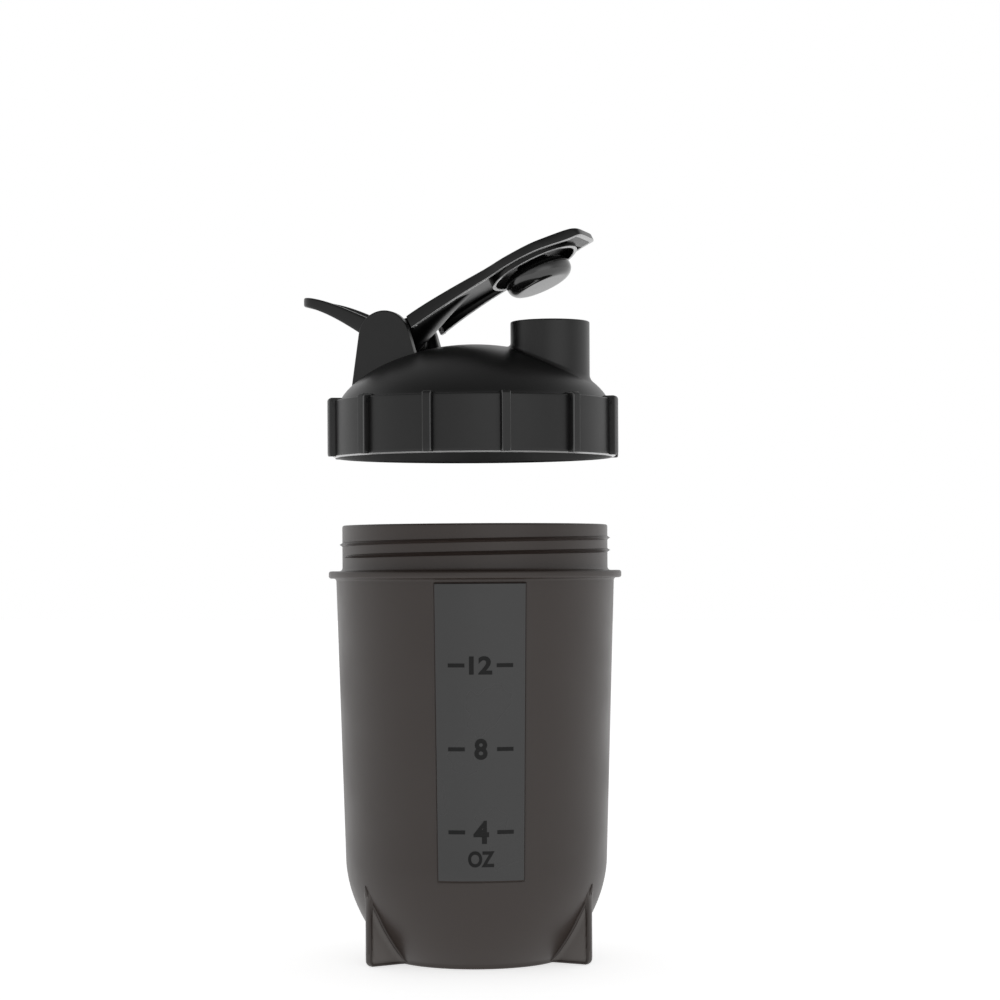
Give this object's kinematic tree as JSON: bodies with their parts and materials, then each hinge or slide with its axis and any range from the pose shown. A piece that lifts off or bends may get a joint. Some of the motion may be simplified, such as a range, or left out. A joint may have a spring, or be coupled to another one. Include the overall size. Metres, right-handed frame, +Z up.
{
  "type": "protein shaker bottle",
  "caption": "Smoked shaker cup with a moulded volume scale and feet, a ribbed screw lid with a drinking spout, a flip cap with a stopper, and a carry loop.",
  "frame": {"origin": "middle of the cup's flat base, on the surface that the bottle stands on", "axes": "+Z up along the cup's axis; +X from the hinge towards the drinking spout; +Y along the hinge"},
  "size_m": [0.0974, 0.0898, 0.2188],
  "materials": {
    "smoked_pp": "smoked translucent polypropylene, satin moulded",
    "black_pp": "black polypropylene, satin moulded",
    "stopper_tpe": "black soft plastic, polished",
    "silicone": "grey silicone rubber, satin",
    "stainless_wire": "drawn and polished stainless steel wire"
  },
  "bodies": {
    "cup": {"cup": "smoked_pp"},
    "seal": {"seal_ring": "silicone"},
    "lid": {"lid": "black_pp"},
    "cap": {"flip_cap": "black_pp", "spout_stopper": "stopper_tpe"},
    "loop": {"carry_loop": "black_pp"},
    "ball": {"mixing_ball": "stainless_wire"}
  },
  "joints": [
    {"name": "lid_lift", "type": "slide", "parent": "cup", "child": "seal", "axis": [0, 0, 1], "range_m": [-0.0339, 0.04]},
    {"name": "lid_turn", "type": "hinge", "parent": "seal", "child": "lid", "pos_m": [0, 0, 0.1514], "axis": [0, 0, 1], "continuous": true},
    {"name": "cap_flip", "type": "hinge", "parent": "lid", "child": "cap", "pos_m": [-0.024, 0, 0.1878], "axis": [0, -1, 0], "range_deg": [-22.3, 58]},
    {"name": "loop_swing", "type": "hinge", "parent": "lid", "child": "loop", "pos_m": [-0.024, 0, 0.1878], "axis": [0, 1, 0], "range_deg": [-60, 15]},
    {"name": "ball_rise", "type": "slide", "parent": "cup", "child": "ball", "axis": [0, 0, 1], "range_m": [0, 0.075]}
  ]
}
